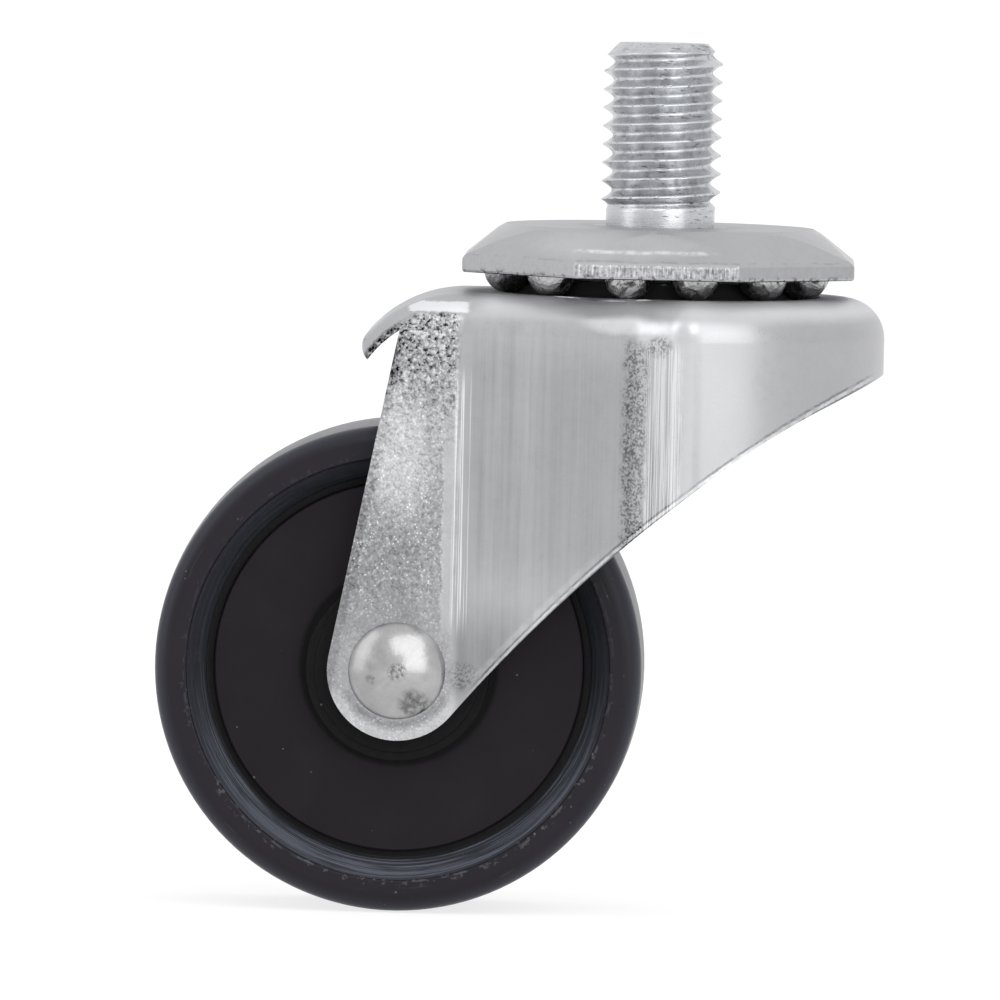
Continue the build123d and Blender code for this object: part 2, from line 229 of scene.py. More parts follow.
class CastorStageSettings(bpy.types.PropertyGroup):
    """Camera, floor and lamps."""

    distance: FloatProperty(
        name="Distance", description="Camera to the stem", default=1.2, min=0.1, unit="LENGTH"
    )
    pixels_per_mm: FloatProperty(
        name="Scale", description="Pixels to a millimetre at the stem", default=12.2, min=1
    )
    azimuth: FloatProperty(
        name="Azimuth",
        description="Camera's turn round the castor",
        default=math.radians(1.2),
        subtype="ANGLE",
    )
    elevation: FloatProperty(
        name="Elevation",
        description="Camera's height above level",
        default=math.radians(3.0),
        subtype="ANGLE",
    )
    roll: FloatProperty(
        name="Roll",
        description="Tilt of the castor in the picture, clockwise",
        default=math.radians(1.3),
        subtype="ANGLE",
    )
    floor_size: FloatProperty(
        name="Floor Size", description="Width of the floor", default=12.0, min=1, unit="LENGTH"
    )
    lamp_distance: FloatProperty(
        name="Lamp Distance", description="Lamps to the castor", default=0.8, min=0.1, unit="LENGTH"
    )
    lamp_level: FloatProperty(
        name="Lamp Level", description="Brightness of the lamps beside the white room", default=1.0, min=0
    )


SETTINGS = {
    "castor_thread": CastorThreadSettings,
    "castor_finish": CastorFinishSettings,
    "castor_stage": CastorStageSettings,
}


# Shader maths written as Python


class Field:
    """A value or vector on a surface, which joins in sums as Python writes them."""

    def __init__(self, paint, socket):
        self.paint = paint
        self.socket = socket

    def maths(self, operation, *others):
        """A Math node that starts with this value."""
        values = dict(enumerate((self,) + others))
        return self.paint.node("ShaderNodeMath", {"operation": operation}, values)

    def __add__(self, other):
        return self.maths("ADD", other)

    def __radd__(self, other):
        return self.maths("ADD", other)

    def __sub__(self, other):
        return self.maths("SUBTRACT", other)

    def __rsub__(self, other):
        return self.paint.node("ShaderNodeMath", {"operation": "SUBTRACT"}, {0: other, 1: self})

    def __mul__(self, other):
        return self.maths("MULTIPLY", other)

    def __rmul__(self, other):
        return self.maths("MULTIPLY", other)

    def __truediv__(self, other):
        return self.maths("DIVIDE", other)

    def __pow__(self, other):
        return self.maths("POWER", other)

    def __abs__(self):
        return self.maths("ABSOLUTE")

    def least(self, other):
        """The lower of this value and another."""
        return self.maths("MINIMUM", other)

    def most(self, other):
        """The higher of this value and another."""
        return self.maths("MAXIMUM", other)

    def swing(self, amount):
        """A value from 0 to 1 as a swing about 0, of the given amount from end to end."""
        return (self - 0.5) * amount

    def step(self, start, end):
        """0 at start and beyond, 1 at end and beyond, smooth between; start may be the higher."""
        settings = {"interpolation_type": "SMOOTHSTEP"}
        low, high = min(start, end), max(start, end)
        values = {"Value": self, "From Min": low, "From Max": high}
        rising = self.paint.node("ShaderNodeMapRange", settings, values)
        return rising if start < end else 1 - rising

    def band(self, centre, width, softness):
        """1 within width of a centre, fading to 0 over the softness."""
        return abs(self - centre).step(width / 2 + softness, width / 2)


class Paint:
    """The nodes of one material or world."""

    def __init__(self, owner, output="ShaderNodeOutputMaterial"):
        self.owner = owner
        owner.use_nodes = True
        self.tree = owner.node_tree
        self.tree.nodes.clear()
        self.output = self.tree.nodes.new(output)

    def node(self, kind, settings, values, output=0):
        """Any node: its type, its settings, then the values or links of its sockets."""
        made = self.tree.nodes.new(kind)
        for name, setting in settings.items():
            setattr(made, name, setting)
        for key, value in values.items():
            if isinstance(value, Field):
                self.tree.links.new(value.socket, made.inputs[key])
            else:
                made.inputs[key].default_value = value
        return Field(self, made.outputs[output])

    def blend(self, mask, first, second):
        """The first colour where the mask is 0 and the second where it is 1."""
        settings = {"data_type": "RGBA", "clamp_factor": True}
        values = {MIX_FACTOR: mask, MIX_FIRST: first, MIX_SECOND: second}
        return self.node("ShaderNodeMix", settings, values, output=MIX_RESULT)

    def shade(self, colour, value):
        """A colour made darker or lighter by a value."""
        return self.node(
            "ShaderNodeVectorMath", {"operation": "SCALE"}, {0: colour, "Scale": value}
        )

    def seen(self):
        """1 where a camera, mirror or glass ray looks, and 0 for the light that a surface gives."""
        rays = [
            self.node("ShaderNodeLightPath", {}, {}, output=name)
            for name in ("Is Camera Ray", "Is Glossy Ray", "Is Transmission Ray")
        ]
        return rays[0].most(rays[1]).most(rays[2])

    def close(self, kind, values):
        """End the tree with a shader of the given kind."""
        shader = self.node(kind, {}, values)
        self.tree.links.new(shader.socket, self.output.inputs["Surface"])
        return self.owner


class Finish(Paint):
    """One material, with the surface's own coordinates in millimetres."""

    def __init__(self, name):
        super().__init__(bpy.data.materials.new(name))
        coordinates = self.node("ShaderNodeTexCoord", {}, {}, output="Object")
        self.place = self.shade(coordinates, 1 / MM)
        self.x, self.y, self.z = self.split(self.place)
        normal = self.node("ShaderNodeTexCoord", {}, {}, output="Normal")
        self.lean_z = self.split(normal)[2]

    def split(self, vector):
        """The three parts of a vector."""
        return [self.node("ShaderNodeSeparateXYZ", {}, {0: vector}, output=part) for part in "XYZ"]

    def vector(self, x, y, z):
        """A vector from three values."""
        return self.node("ShaderNodeCombineXYZ", {}, {0: x, 1: y, 2: z})

    def polar(self, across, up):
        """The distance and the angle of a point from an axis."""
        angle = self.node("ShaderNodeMath", {"operation": "ARCTAN2"}, {0: up, 1: across})
        return (across**2 + up**2) ** 0.5, angle

    def noise(self, size_mm, detail=3.0, place=None, roughness=0.5, distortion=0.0):
        """Cloudy values from 0 to 1 whose lumps are about size_mm across."""
        values = {
            "Vector": place or self.place,
            "Scale": 1 / size_mm,
            "Detail": detail,
            "Roughness": roughness,
            "Distortion": distortion,
        }
        return self.node("ShaderNodeTexNoise", {"noise_dimensions": "3D"}, values)

    def streaks(self, first, second, third, detail=3, roughness=0.5):
        """Cloudy values from 0 to 1 whose lumps are 1 across in each of the three values."""
        place = self.vector(first, second, third)
        return self.noise(1.0, detail=detail, place=place, roughness=roughness)

    def cells(self, size_mm):
        """Distance to the nearest of scattered points about size_mm apart."""
        values = {"Vector": self.place, "Scale": 1 / size_mm}
        return self.node("ShaderNodeTexVoronoi", {"feature": "F1"}, values)

    def spot(self, name):
        """A soft oval patch in side view, ragged at its edge, with its place from SPOTS."""
        centre_x, centre_z, half_width, half_height = SPOTS[name]
        across = (self.x - centre_x) / half_width
        up = (self.z - centre_z) / half_height
        ragged = self.noise(1.5, detail=4).swing(1.4)
        return (across**2 + up**2 + ragged).step(1.5, 0.2)

    def bump(self, height, depth_mm, normal=None):
        """A normal from heights of 0 to 1 that stand for a depth in millimetres."""
        values = {"Height": height, "Distance": depth_mm * MM, "Strength": 1.0}
        if normal is not None:
            values["Normal"] = normal
        return self.node("ShaderNodeBump", {}, values)

    def metal(self, colour, level, roughness, normal):
        """Close as bare or plated metal."""
        values = {
            "Base Color": self.shade(tuple(colour), level),
            "Metallic": 1.0,
            "Roughness": roughness,
            "Normal": normal,
        }
        return self.close("ShaderNodeBsdfPrincipled", values)


def opaque(colour):
    """A colour with full alpha."""
    return tuple(colour) + (1.0,)


# Finishes


def race_grease(paint, inner_mm, outer_mm, low_mm, high_mm):
    """Where grease has gathered: a ring about the stem between two heights, with a ragged edge."""
    radius, _ = paint.polar(paint.x, paint.y)
    radius = radius + paint.noise(1.6, detail=4).swing(0.9)
    ring = radius.step(inner_mm - 0.3, inner_mm + 0.3) * radius.step(outer_mm + 0.3, outer_mm - 0.3)
    return ring * paint.z.step(low_mm - 0.2, low_mm) * paint.z.step(high_mm + 0.2, high_mm)


def sheet_finish(name, settings, marks, grease_at, greased_side, bloom_and_light_above_mm):
    """Zinc-plated pressed sheet: cloudy grey, finely pitted, with its piece's own marks.
    It is greased on faces that look up or down, as said. Above a height, faces that look up
    are paler, which is painted light, and less metallic, a dry, bloomed finish."""
    paint = Finish(name)
    faces = paint.lean_z * greased_side
    # Painted light: faces that look up above the height are paler, and they are also less metallic
    bloom_and_painted_light = paint.lean_z.step(0.40, 0.80) * paint.z.step(bloom_and_light_above_mm - 0.6, bloom_and_light_above_mm)
    bloom_and_painted_light = bloom_and_painted_light * paint.x.step(-15.5, -13.0)
    clouds = paint.noise(6.0, detail=4)
    mottle = paint.noise(0.9, detail=5, roughness=0.62)
    grain = paint.noise(0.16, detail=2)
    scratches = fine_scratches(paint)
    level = 0.85 + clouds * 0.16 + mottle * 0.13 + grain * 0.05 - scratches * 0.07
    rough = settings.zinc_roughness + mottle.swing(0.16) + grain.swing(0.10)
    level, rough, normal = marks(paint, level, rough)
    normal = paint.bump(mottle * 0.5 + grain * 0.25 - scratches * 0.4, 0.005, normal)
    grease = race_grease(paint, *grease_at) * faces.step(-0.1, 0.1) * 0.92
    zinc = paint.shade(tuple(settings.zinc), level + bloom_and_painted_light * 0.38)
    values = {
        "Base Color": paint.blend(grease, zinc, opaque(settings.grease)),
        "Metallic": 1 - grease.most(bloom_and_painted_light * 0.9) * 0.6,
        "Roughness": rough + grease * 0.1,
        "Normal": normal,
    }
    return paint.close("ShaderNodeBsdfPrincipled", values)


def fine_scratches(paint):
    """Hairline scratches on a steep slant, which gather in patches."""
    along = paint.x * 0.25 + paint.z * 0.9
    across = paint.z * 0.25 - paint.x * 0.9
    place = paint.vector(along * 0.18, paint.y, across * 3.5)
    lines = paint.noise(0.6, detail=2, place=place).step(0.70, 0.78)
    return lines * paint.noise(3.5, detail=1).step(0.48, 0.62)


def vertical_lines(paint, width_mm, length_mm):
    """Drawn lines that run down the sheet, cloudy from 0 to 1."""
    return paint.streaks(
        paint.x / width_mm, paint.y / width_mm, paint.z / length_mm, roughness=0.6
    )


class ForkGrain:
    """What the fork's marks share: how far out a point lies, and its pits and drawn lines."""

    def __init__(self, paint):
        self.side = abs(paint.y)
        self.pits = paint.noise(0.40, detail=3, roughness=0.55)
        self.fine = paint.noise(0.20, detail=2)
        self.lines = vertical_lines(paint, 0.14, 22.0)
        self.broad = vertical_lines(paint, 0.7, 30.0)


def ear_marks(paint, grain):
    """The flat ears are pitted all over, brighter below the bend and dull near the axle.
    Gives the change of level, of roughness and of height."""
    ear = grain.side.step(9.8, 10.4) * paint.x.step(EAR_BEND_X + 0.1, EAR_BEND_X - 0.8)
    uneven = paint.x + paint.noise(1.6, detail=3).swing(0.7)
    strip = uneven.band(EAR_BEND_X - 0.75, 0.7, 0.35) * paint.z.step(-15.0, -19.0)
    strip = strip * paint.z.step(-34.5, -31.5) * grain.side.step(10.6, 10.9)
    ear = ear * paint.z.step(-6.9, -7.3) * (1 - strip * 0.85)

    upper = paint.z.step(-17.0, -9.5)
    lower = paint.z.step(-19.0, -25.0)
    smooth_end = paint.z.step(-28.0, -33.0)
    sparkle = grain.pits.step(0.52, 0.64) * (0.12 + upper * 0.40) + grain.fine.step(0.55, 0.68) * 0.28
    pitted = grain.pits.step(0.48, 0.36) * (0.20 + upper * 0.42) + grain.fine.step(0.44, 0.32) * 0.24
    speckled = (sparkle - pitted * (1 - lower * 0.35)) * (1 - smooth_end * 0.6)
    glints = paint.cells(0.30).step(0.30, 0.16) * paint.noise(0.9, detail=2).step(0.42, 0.58)
    glints = glints * (0.55 + lower * 0.35 - smooth_end * 0.45)
    ear_tone = paint.spot("bright_ear_patch") * 0.30 - paint.spot("dull_ear") * 0.14
    ear_tone = ear_tone - upper * 0.20 - lower * 0.19 + smooth_end * 0.07 - 0.04

    level = ear * (ear_tone + speckled + glints) + strip * 0.14
    height = ear * (grain.pits * (0.45 + upper * 0.7) + grain.fine * 0.5)
    return level, ear * grain.fine.swing(0.14), height


def ear_end_marks(paint, grain):
    """A pale rim round the ear's end below the axle, which is a painted reflection of the floor,
    a dark edge along the back, and a band of painted shade just outside the rivet head.
    """
    across = paint.x - AXLE_X_MM
    up = paint.z - AXLE_Z_MM
    on_ear = grain.side.step(10.6, 10.9)
    below_axle = up.step(-1.0, -3.0) * on_ear
    wander = grain.fine.swing(0.5)
    from_axle, _ = paint.polar(across, up)
    from_rear = across * math.cos(EAR_LEAN) - up * math.sin(EAR_LEAN) + EAR_END_RADIUS
    rear_rim = (from_rear + wander).step(0.95, 0.55) * on_ear
    # Painted reflection of the floor on the rim below the axle
    floor_reflection_rim = (from_axle + wander).step(4.7, 5.1) * below_axle
    # Painted shade in a band just outside the rivet head, below the axle
    shaded = from_axle.band(4.35, 0.25, 0.25) * below_axle
    return floor_reflection_rim * 0.34 - rear_rim * 0.22 - shaded * 0.22


def crease_marks(paint, grain):
    """The crease over each ear has a painted highlight: a ragged bright bar along the bend."""
    wander = paint.noise(0.7, detail=4).swing(0.8)
    crease_highlight = abs(paint.x + 17.7 + wander).step(2.7, 2.2) * grain.side.step(8.4, 8.8)
    return crease_highlight * (paint.z + wander * 0.5).band(-6.62, 0.70, 0.14) * 0.72


def flare_marks(paint, grain):
    """The flared side has drawn lines, and is duller in its middle and at its foot.
    Along the bend in front of each ear its drawn lines are painted highlights.
    Gives the change of level and of height."""
    flare = grain.side.step(11.2, 11.6) * paint.z.step(-7.0, -9.0) * paint.x.step(-0.9, -2.0)
    near_bend = paint.x.step(-6.5, -11.5)
    drawn = grain.lines.swing(0.16) + grain.broad.swing(0.20 + near_bend * 0.34)
    calm = paint.z.band(-19.0, 13.0, 5.0)
    outside = grain.side.step(10.85, 11.0)
    foot = paint.z.step(-29.0, -35.5) * paint.x.step(-8.0, -13.5) * outside
    foot = foot * paint.x.step(EAR_BEND_X - 0.4, EAR_BEND_X + 0.4)
    scraped = paint.spot("scraped_foot") * outside * grain.fine.step(0.46, 0.62)
    # Painted highlight: bright drawn lines along the bend in front of each ear
    bend_highlight = paint.x.band(EAR_BEND_X + 0.15, 0.9, 0.4) * paint.z.step(-11.0, -14.0)
    bend_highlight = bend_highlight * paint.z.step(-34.0, -31.0)
    level = flare * (0.05 - calm * 0.17 + drawn) - foot * 0.38 - scraped * 0.30
    level = level + grain.lines.step(0.50, 0.58) * bend_highlight * 0.80
    return level, grain.lines * (flare * 0.08 + bend_highlight * 0.6)


def cheek_marks(paint, grain):
    """Where the side steps out to the cheek its crease has painted shade, dark and speckled,
    then a painted highlight scored with drawn lines, and a painted highlight where the top bend meets it.
    Gives the change of level and of height."""
    cheek = grain.side.step(13.6, 14.2)
    below_top = (paint.z + paint.noise(1.2, detail=3) * 2.0).step(-7.6, -9.0) * cheek
    ragged = paint.x + paint.noise(0.8, detail=4).swing(1.2)
    # Painted highlight scored with drawn lines, then painted shade in the crease, dark with specks
    lined_highlight = ragged.band(0.75, 2.3, 0.6) * below_top
    speckled_crease_shade = ragged.band(-1.5, 1.0, 0.8) * below_top
    bruised = paint.spot("bruised_cheek") * cheek
    # Painted highlight where the top bend meets the cheek
    corner_highlight = paint.x.band(2.4, 1.1, 0.8) * grain.side.step(12.8, 13.6) * paint.z.step(-6.7, -7.5)
    specks = grain.fine.step(0.40, 0.60) * 0.26 + grain.pits.step(0.44, 0.58) * 0.14
    scores = vertical_lines(paint, 0.10, 16.0).step(0.54, 0.43)
    scores = scores * (0.44 + paint.z.step(-12.0, -19.0) * 0.26)
    level = lined_highlight * (0.28 - scores) - speckled_crease_shade * (specks * 1.35 + 0.08)
    level = level + corner_highlight * 0.42 - bruised * specks * 1.3
    return level, (speckled_crease_shade + bruised) * grain.fine * 0.5 + grain.lines * lined_highlight * 0.6


def top_bend_marks(paint, grain):
    """The bend round the top is duller than the sides and paler, which is painted light,
    with a painted highlight by the cheek.
    Gives the change of level and of roughness."""
    # Painted light: the top bend is paler, with a painted highlight by the cheek
    top_bend = paint.lean_z.step(0.35, 0.70) * paint.z.step(-8.4, -7.2)
    top_highlight = paint.spot("top_bend_highlight") * grain.side.step(11.0, 12.5)
    return top_bend * 0.08 + top_highlight * 0.46, top_bend * 0.22


def lower_edge_marks(paint, grain):
    """Sheared faces are matt. Above them the edge has a painted highlight, a bright rim for the floor's
    reflection, a painted shadow line above it, a pale painted band lower down and painted shadow along
    the very edge.
    Gives the change of level and of roughness."""
    sheared = paint.lean_z.step(-0.25, -0.45) * paint.z.step(-9.0, -11.0)
    run = paint.x - LEG_FOOT_X
    edge_z = run * LEG_FOOT_SLOPE - run * run * LEG_SLOPE_LOSS + LEG_FOOT_Z
    above = (paint.z - edge_z) * 0.72 + grain.pits.swing(0.16)
    rim_patchiness = paint.noise(0.9, detail=3).step(0.34, 0.56)
    # Painted light along the edge: a bright rim for the floor's reflection, a painted shadow line above
    # it and a pale band lower down
    rim = above.band(0.12, 0.10, 0.10) * 0.45 - above.band(0.34, 0.04, 0.10) * 0.45
    rim = rim + above.band(0.62, 0.25, 0.30) * paint.z.step(-24.0, -30.0) * 0.20
    rim = rim * run.step(1.0, 3.0) * (0.35 + rim_patchiness * 0.65)
    # Painted shadow along the very edge
    under = above.step(0.07, 0.0) * run.step(0.0, 2.0)
    level = sheared * (grain.fine - 0.62) * 0.8 + (rim - under * 0.45) * grain.side.step(4.0, 9.0)
    return level, sheared * 0.18


def lip_marks(paint, grain):
    """The lip's side edges are torn and dark towards the tip.
    Gives the change of level and of roughness."""
    from_curl, _ = paint.polar(paint.x - LIP_CURL_X, paint.z - LIP_CURL_Z)
    torn = from_curl.step(LIP_CURL_RADIUS - 0.75, LIP_CURL_RADIUS - 1.05) * grain.side.step(9.4, 9.9)
    torn = torn * paint.x.step(-20.6, -21.6) * paint.z.step(-12.5, -12.0)
    return torn * (-0.55 - grain.lines.swing(0.5)), torn * 0.2


def fork_marks(paint, level, rough):
    """The fork's own marks, from the ears to the cheeks, then round its top and its edges."""
    grain = ForkGrain(paint)
    ear_level, ear_rough, ear_height = ear_marks(paint, grain)
    flare_level, flare_height = flare_marks(paint, grain)
    cheek_level, cheek_height = cheek_marks(paint, grain)
    top_level, top_rough = top_bend_marks(paint, grain)
    edge_level, edge_rough = lower_edge_marks(paint, grain)
    torn_level, torn_rough = lip_marks(paint, grain)
    level = level + ear_level + ear_end_marks(paint, grain) + crease_marks(paint, grain)
    level = level + flare_level + cheek_level + top_level + edge_level + torn_level
    rough = rough + ear_rough + top_rough + edge_rough + torn_rough
    return level, rough, paint.bump(ear_height + flare_height + cheek_height, 0.05)


def cap_marks(paint, level, rough):
    """The cap's own marks: a sheared rim, torn on the near and the far side, with burrs at
    its foot, a painted highlight along the shoulder over a fine crack, a painted highlight across the
    skirt, and rings on the flat top."""
    radius, angle = paint.polar(paint.x, paint.y)
    rim = radius.step(15.6, 16.0) * abs(paint.lean_z).step(0.40, 0.20)
    torn_side = abs(paint.x).step(6.8, 6.4) * abs(paint.y).step(15.0, 15.4)
    lines = paint.streaks(angle * 100.0, 0.0, paint.z / 1.4, roughness=0.6)
    flecks = paint.noise(0.30, detail=3, roughness=0.6)
    tear = rim * (0.12 + torn_side * 0.88)
    level = level - rim * 0.10 + tear * (lines.swing(2.2) + flecks.swing(1.8))
    # Painted highlight across the skirt
    level = level + paint.spot("skirt_highlight") * (1 - rim) * 0.14
    foot = paint.z.step(-3.35, -3.9) * radius.step(15.0, 15.6)
    burrs = paint.noise(0.55, detail=3).step(0.52, 0.62) * foot
    level = level - burrs * 0.60

    height = paint.z + paint.noise(2.4, detail=2).swing(0.3)
    # Painted highlight: a bright, broken line along the shoulder
    shoulder = height.band(-1.72, 0.06, 0.20) * abs(paint.x + 1.0).step(6.4, 4.4)
    shoulder = shoulder * paint.noise(0.8, detail=5, roughness=0.65).step(0.30, 0.62)
    shoulder = shoulder * abs(paint.y).step(9.0, 10.0)
    crack = height.band(-2.45, 0.05, 0.08) * paint.noise(1.0, detail=3).step(0.44, 0.56)
    level = level + shoulder * 0.60 - crack * 0.16 * (1 - rim)
    rings = paint.streaks(radius / 0.35, angle * 0.6, 0.0, detail=2)
    top = paint.lean_z.step(0.85, 0.97)
    level = level + rings.swing(0.12) * top - radius.band(6.2, 0.5, 0.9) * top * 0.10
    relief = lines * tear * 0.9 + flecks * tear * 0.4 - burrs * 0.9
    return level, rough + rim * 0.04 + top * 0.22, paint.bump(relief, 0.05)


def thread_finish(settings):
    """Bright zinc on the stem: pale crests, greyer roots and faint rolled lines."""
    paint = Finish("stem_steel")
    radius, _ = paint.polar(paint.x, paint.y)
    root = radius.step(4.55, 4.10) * paint.z.step(1.4, 2.0)
    crest = radius.step(4.72, 4.84)
    mottle = paint.noise(0.55, detail=4, roughness=0.6)
    clouds = paint.noise(2.8, detail=3)
    wrap = paint.streaks(paint.x / 2.4, paint.y / 2.4, paint.z / 0.09)
    specks = paint.noise(0.28, detail=2).step(0.60, 0.72)
    # Darker patches in the roots
    dark_root_patches = root * paint.noise(0.8, detail=3).step(0.42, 0.66)
    drawn = paint.streaks(paint.x / 0.9, paint.y / 0.9, paint.z / 0.16)
    smudge = drawn.step(0.58, 0.68) * clouds.step(0.46, 0.54) * 0.60
    level = 0.82 + mottle * 0.20 + clouds * 0.14 + wrap.swing(0.22) + specks * 0.18
    level = level + crest * 0.06 - dark_root_patches * 0.26 - smudge
    nicks = crest * paint.noise(0.5, detail=3).step(0.58, 0.66)
    height = mottle * 0.5 + wrap * 0.25 - nicks * 1.6
    rough = 0.26 + mottle.swing(0.2) + dark_root_patches * 0.15
    return paint.metal(settings.bright_zinc, level - nicks * 0.15, rough, paint.bump(height, 0.024))


def rivet_finish(settings):
    """Spun rivet heads: rings about the axle, a small mark at the centre and dark smears below,
    with painted shade along the lower edge of the dome and on the side towards the back.
    """
    paint = Finish("rivet_steel")
    across = paint.x - AXLE_X_MM
    up = paint.z - AXLE_Z_MM
    radius, angle = paint.polar(across, up)
    rings = paint.streaks(radius / 0.13, angle * 0.35, paint.y * 0.2)
    smears = paint.noise(1.3, detail=3, distortion=0.6)
    fan = paint.streaks(angle * 2.6, radius * 0.3, 0.0, detail=2)
    grain = paint.noise(0.22, detail=3)
    centre = radius.step(0.9, 0.45) * paint.noise(0.35, detail=2).step(0.40, 0.60)
    stain = paint.spot("rivet_stain").most(paint.spot("rivet_speck") * 0.6)
    stain = stain * (0.25 + paint.noise(0.5, detail=4, roughness=0.6).step(0.38, 0.60) * 0.75)
    # Painted shade along the lower edge of the dome and on the side towards the back
    rim = radius.step(3.65, 3.9) * up.step(1.0, -2.5)
    painted_shade_rear = across.step(0.5, -2.5)
    level = 0.92 + rings.swing(0.10) + smears.swing(0.24) + fan.swing(0.30)
    level = level + grain.swing(0.10) - centre * 0.45 - stain * (0.30 + grain * 0.45)
    level = level - rim * 0.25 - painted_shade_rear * 0.12
    height = rings * 0.3 + grain * 0.3 - centre * 1.2 + smears * 0.8 - stain * grain * 0.8
    rough = 0.23 + smears.swing(0.14) + grain.swing(0.1) + stain * 0.08
    return paint.metal(settings.rivet, level, rough, paint.bump(height, 0.02))


def ball_finish(settings):
    """Steel balls under a patchy film of dark grease, and darker towards their bottoms."""
    paint = Finish("ball_steel")
    film = paint.noise(1.3, detail=4, roughness=0.65, distortion=0.8)
    # Darker towards the bottom of each ball
    grease = (film + paint.z.step(-4.6, -5.3) * 0.12).step(0.50, 0.64)
    streaks = paint.noise(0.35, detail=4)
    steel = paint.shade(tuple(settings.ball), 0.5 + streaks * 1.1)
    values = {
        "Base Color": paint.blend(grease * 0.9, steel, opaque(settings.grease)),
        "Metallic": 1 - grease * 0.6,
        "Roughness": 0.20 + grease * 0.14 + streaks.swing(0.14),
        "Normal": paint.bump(film + streaks * 0.4, 0.14),
    }
    return paint.close("ShaderNodeBsdfPrincipled", values)


def wheel_finish(settings):
    """Black moulded plastic: half-gloss rim, duller web, turned lines, flash and a little dust,
    with painted shade in the grooves and a painted sheen on the shoulder and on the wall inside the rim,
    brighter towards the bottom; flash and burrs also show more towards the bottom.
    """
    paint = Finish("black_plastic")
    up = paint.z - AXLE_Z_MM
    radius, angle = paint.polar(paint.x - AXLE_X_MM, up)
    side = abs(paint.y)

    # From the axle outwards lie the hub, the web, the wall inside the rim and the rim's face
    # Painted shade in the groove round the hub and in the groove between the web and the wall
    groove_shade = radius.step(8.4, 7.9).most(radius.band(15.7, 0.7, 0.35) * side.step(8.9, 8.4))
    web = radius.step(15.4, 15.1)
    wall = radius.step(15.6, 15.9) * radius.step(17.32, 17.1) * side.step(8.76, 8.5)
    face = side.step(8.2, 8.6)
    # Painted sheen on the shoulder
    shoulder = radius.step(18.6, 20.0)
    # Painted light: brighter towards the bottom, where the wall inside the rim faces up; flash and burrs
    # also show more there
    below = up.step(2.0, -12.0) * 0.8 + 0.2

    clouds = paint.noise(5.0, detail=4)
    satin = paint.noise(0.35, detail=3)
    lines = paint.streaks(radius / 0.22, angle * 0.8, side * 0.3)
    arcs = paint.streaks(radius / 0.16, angle * 0.5, side / 0.16)
    broken = paint.streaks(radius / 0.5, angle * 3.0, side / 0.6).step(0.30, 0.60)
    # Painted sheen on the wall inside the rim, broken by turned arcs
    wall_sheen_and_arcs = 0.13 + below * (0.12 + arcs.step(0.42, 0.60) * broken * 0.90)
    flash_path = radius + paint.noise(7.0, detail=2).swing(0.9)
    flash = flash_path.band(17.45, 0.06, 0.12) * face * paint.noise(1.1, detail=4).step(0.50, 0.62)
    burr = radius.band(17.35, 0.5, 0.4) * face * paint.noise(0.5, detail=3).step(0.58, 0.68)
    dust = paint.cells(0.9).step(0.11, 0.05) * paint.noise(1.9, detail=2).step(0.60, 0.66)
    lint = paint.cells(2.6).step(0.05, 0.02)
    scuffs = paint.streaks(radius / 0.5, angle * 3.0, side * 0.4)
    scuffs = scuffs.step(0.66, 0.74) * radius.band(18.6, 2.4, 0.8)

    tints = (
        (web, settings.web),
        (clouds.step(0.35, 0.75) * 0.30, CLOUDED_BLACK),
        (groove_shade * (0.6 + satin * 0.5), GROOVE_SHADE),
        (wall * wall_sheen_and_arcs, settings.painted_wall_sheen),
        (shoulder * 0.9, SHOULDER_PAINTED_SHEEN),
        (flash * below * 0.60, FLASH_GREY),
        ((burr * below * 0.7 + scuffs * 0.15).least(1.0), SCUFF_GREY),
        ((dust + lint).least(1.0) * 0.40, DUST_GREY),
    )
    colour = opaque(settings.plastic)
    for mask, tint in tints:
        colour = paint.blend(mask, colour, opaque(tint))
    rough = settings.plastic_roughness + web * 0.12 + satin.swing(0.12) + clouds.swing(0.10)
    height = lines * 0.35 + satin * 0.3 + flash * 2.0 + burr * 1.6 + wall * arcs * 1.4
    values = {
        "Base Color": colour,
        "Specular IOR Level": 0.18,
        "Roughness": rough + flash * 0.2 + dust * 0.3 + groove_shade * 0.2,
        "Normal": paint.bump(height, 0.018),
    }
    return paint.close("ShaderNodeBsdfPrincipled", values)


# Shapes


def edge_modifiers(node, width):
    """Weld a CAD node's faces together and round its sharp edges a little."""
    weld = node.modifiers.new("weld", "WELD")
    weld.merge_threshold = WELD_DISTANCE
    bevel = node.modifiers.new("edge_rounding", "BEVEL")
    bevel.width = width
    bevel.segments = 2
    bevel.limit_method = "ANGLE"
    bevel.angle_limit = ROUNDED_ANGLE
    bevel.use_clamp_overlap = True
    bevel.harden_normals = False
    smooth = node.modifiers.new("even_normals", "WEIGHTED_NORMAL")
    smooth.keep_sharp = True


def thread_radius(thread, height, turn):
    """The thread's radius at a height above the seat and a turn about the stem, 0 to 1."""
    phase = (height - thread.first_crest) / thread.pitch - (turn - 0.5)
    from_crest = abs(phase - round(phase)) * 2
    along_flank = (from_crest - thread.crest_share) / thread.flank_share
    along_flank = min(max(along_flank, 0.0), 1.0)
    rolled = thread.crest_radius - thread.depth * (1 - (1 - along_flank) ** FLANK_POWER)
    chamfer = thread.tip_radius + STEM_TOP - height
    into_thread = (height - thread.neck_height) / thread.run_out
    into_thread = min(max(into_thread, 0.0), 1.0)
    into_thread = into_thread * into_thread * (3 - 2 * into_thread)
    blended = thread.neck_radius + (rolled - thread.neck_radius) * into_thread
    return min(blended, chamfer)


